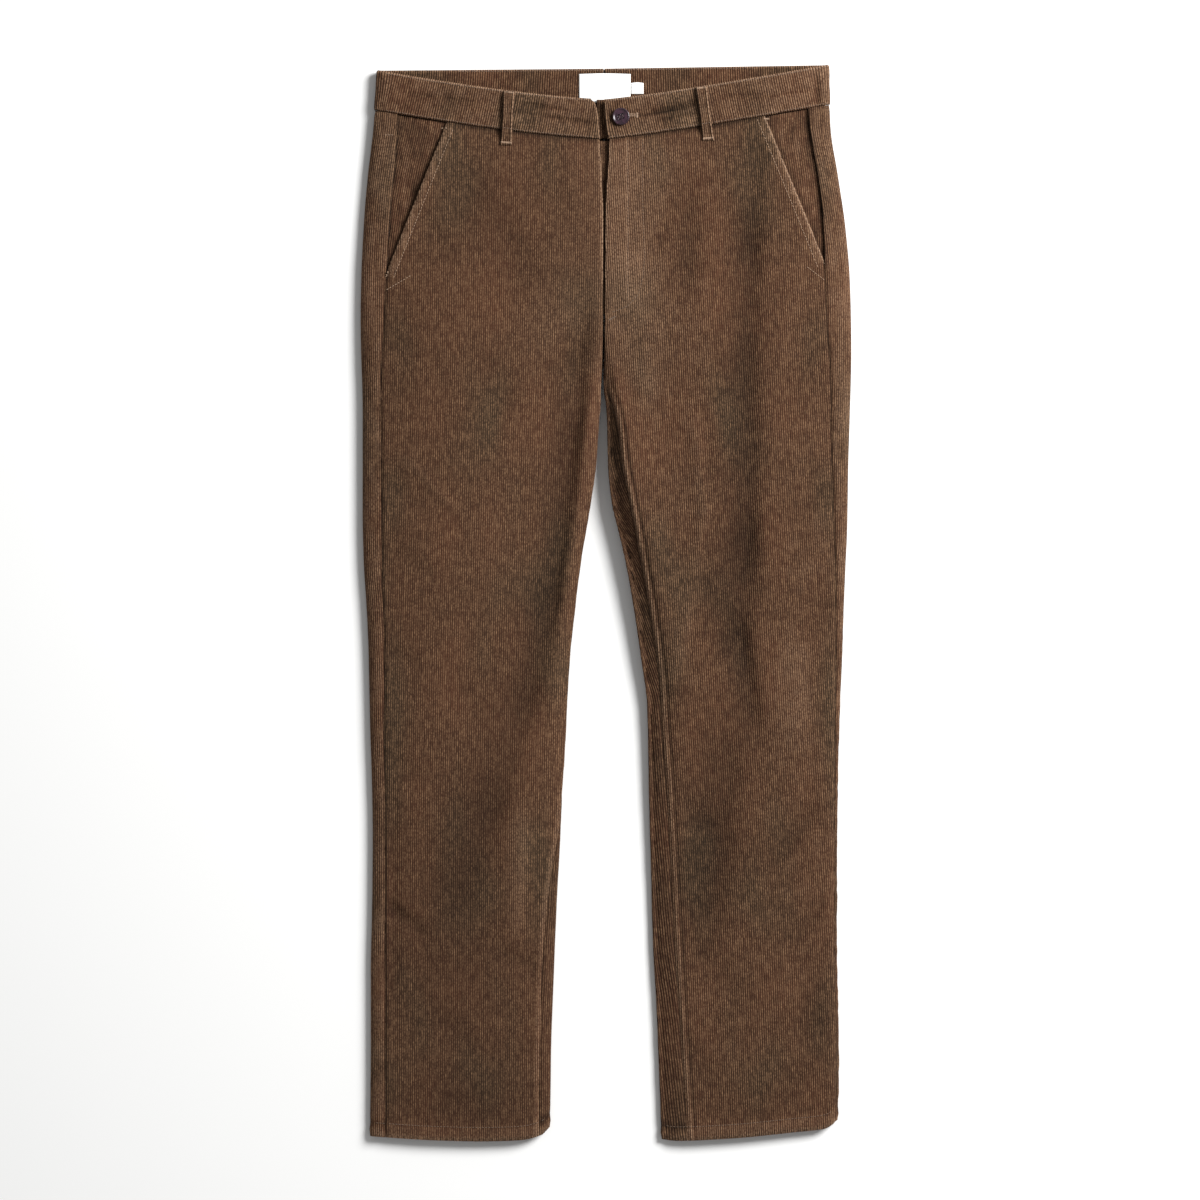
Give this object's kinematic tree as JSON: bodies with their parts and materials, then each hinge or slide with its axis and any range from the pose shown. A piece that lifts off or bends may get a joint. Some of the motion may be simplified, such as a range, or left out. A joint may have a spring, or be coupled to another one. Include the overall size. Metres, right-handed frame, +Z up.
{
  "type": "corduroy trousers",
  "caption": "Men's straight-leg corduroy trousers laid flat with the front up: waistband with belt loops, buttoned fly, slanted front pockets and plain hems.",
  "frame": {"origin": "middle of the laid-out garment's outline, on the surface that it lies on", "axes": "+X to the right seen from above, which is towards the wearer's left leg; +Y from the hems to the waist; +Z up from the surface, towards the front of the garment"},
  "size_m": [0.4897, 1.075, 0.0222],
  "materials": {
    "corduroy": "brown cotton corduroy, fine vertical cords, soft mottled pile",
    "label": "plain white woven satin, bare",
    "button": "moulded polyester resin, dark purple-brown, polished"
  },
  "bodies": {
    "root": {"front_right": "corduroy", "front_left": "corduroy", "back_right": "corduroy", "back_left": "corduroy", "pocket_facing_right": "corduroy", "pocket_facing_left": "corduroy", "waistband_right": "corduroy", "waistband_left": "corduroy", "waistband_underlap": "corduroy", "fly_shield": "corduroy", "belt_loop_front_right": "corduroy", "belt_loop_front_left": "corduroy", "belt_loop_back_right": "corduroy", "belt_loop_back_left": "corduroy", "belt_loop_back_middle": "corduroy", "waist_label": "label", "size_label": "label", "button": "button"}
  },
  "joints": []
}
